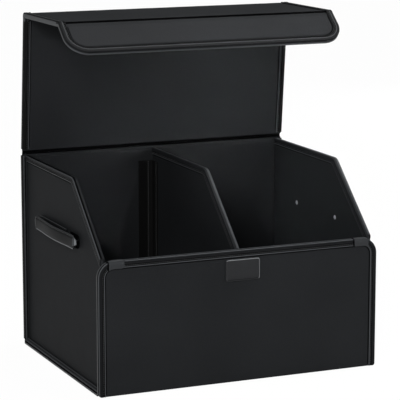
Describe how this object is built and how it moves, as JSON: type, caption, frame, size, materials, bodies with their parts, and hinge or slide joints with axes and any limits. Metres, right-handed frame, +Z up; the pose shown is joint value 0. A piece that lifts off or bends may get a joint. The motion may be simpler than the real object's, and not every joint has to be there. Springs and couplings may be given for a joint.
{
  "type": "cargo storage box",
  "caption": "Rigid-panel storage box for a car boot with a central divider, side carry handles and a hinged lid that folds in sections over a chamfered front.",
  "frame": {"origin": "centre of the base's footprint, on the underside that rests on the floor", "axes": "+Z up, +X to the box's right seen from the front, +Y towards the back where the lid is hinged"},
  "size_m": [0.4632, 0.3413, 0.5297],
  "materials": {
    "leatherette": "satin black leatherette over board, fine grain",
    "binding": "turned and stitched black leatherette edge tape, slightly glossier",
    "lining_board": "matte black covered board",
    "loop_tape": "matte black loop tape",
    "polished_metal": "polished rivet head",
    "dark_metal": "satin black plate with a bright edge"
  },
  "bodies": {
    "box": {"base_panel": "leatherette", "base_binding_left": "binding", "base_binding_right": "binding", "floor_board": "lining_board", "back_panel": "leatherette", "back_binding_left": "binding", "back_binding_right": "binding", "back_liner": "leatherette", "front_panel": "leatherette", "front_binding": "binding", "left_corner_tab": "binding", "right_corner_tab": "binding", "left_side_panel": "leatherette", "right_side_panel": "leatherette", "left_side_binding": "binding", "right_side_binding": "binding", "left_foot_welt": "binding", "right_foot_welt": "binding", "left_handle_strap": "leatherette", "right_handle_strap": "leatherette", "left_front_rivet": "polished_metal", "left_rear_rivet": "polished_metal", "right_front_rivet": "polished_metal", "right_rear_rivet": "polished_metal", "divider_panel": "leatherette", "divider_binding": "binding", "divider_flange": "leatherette", "divider_loop_tape": "loop_tape", "latch_plate": "dark_metal"},
    "lid_rear": {"back_fold_web": "leatherette", "lid_rear_panel": "leatherette", "lid_rear_binding_left": "binding", "lid_rear_binding_right": "binding"},
    "lid_mid": {"mid_fold_web": "leatherette", "lid_mid_panel": "leatherette", "lid_mid_binding_left": "binding", "lid_mid_binding_right": "binding"},
    "lid_flap": {"flap_fold_web": "leatherette", "lid_flap_panel": "leatherette", "lid_flap_binding": "binding", "flap_magnet_patch": "leatherette"}
  },
  "joints": [
    {"name": "lid_hinge", "type": "hinge", "parent": "box", "child": "lid_rear", "pos_m": [0, 0.1659, 0.3085], "axis": [1, 0, 0], "range_deg": [-20, 84.6]},
    {"name": "lid_mid_fold", "type": "hinge", "parent": "lid_rear", "child": "lid_mid", "pos_m": [0, 0.14548, 0.52454], "axis": [1, 0, 0], "range_deg": [-47.5, 11.5]},
    {"name": "lid_flap_fold", "type": "hinge", "parent": "lid_mid", "child": "lid_flap", "pos_m": [0, -0.01152, 0.52563], "axis": [1, 0, 0], "range_deg": [-3.5, 13.8]}
  ],
  "couplings": [
    {"joint": "lid_mid_fold", "follows": "lid_hinge", "ratio": -0.558},
    {"joint": "lid_flap_fold", "follows": "lid_hinge", "ratio": 0.1597}
  ]
}
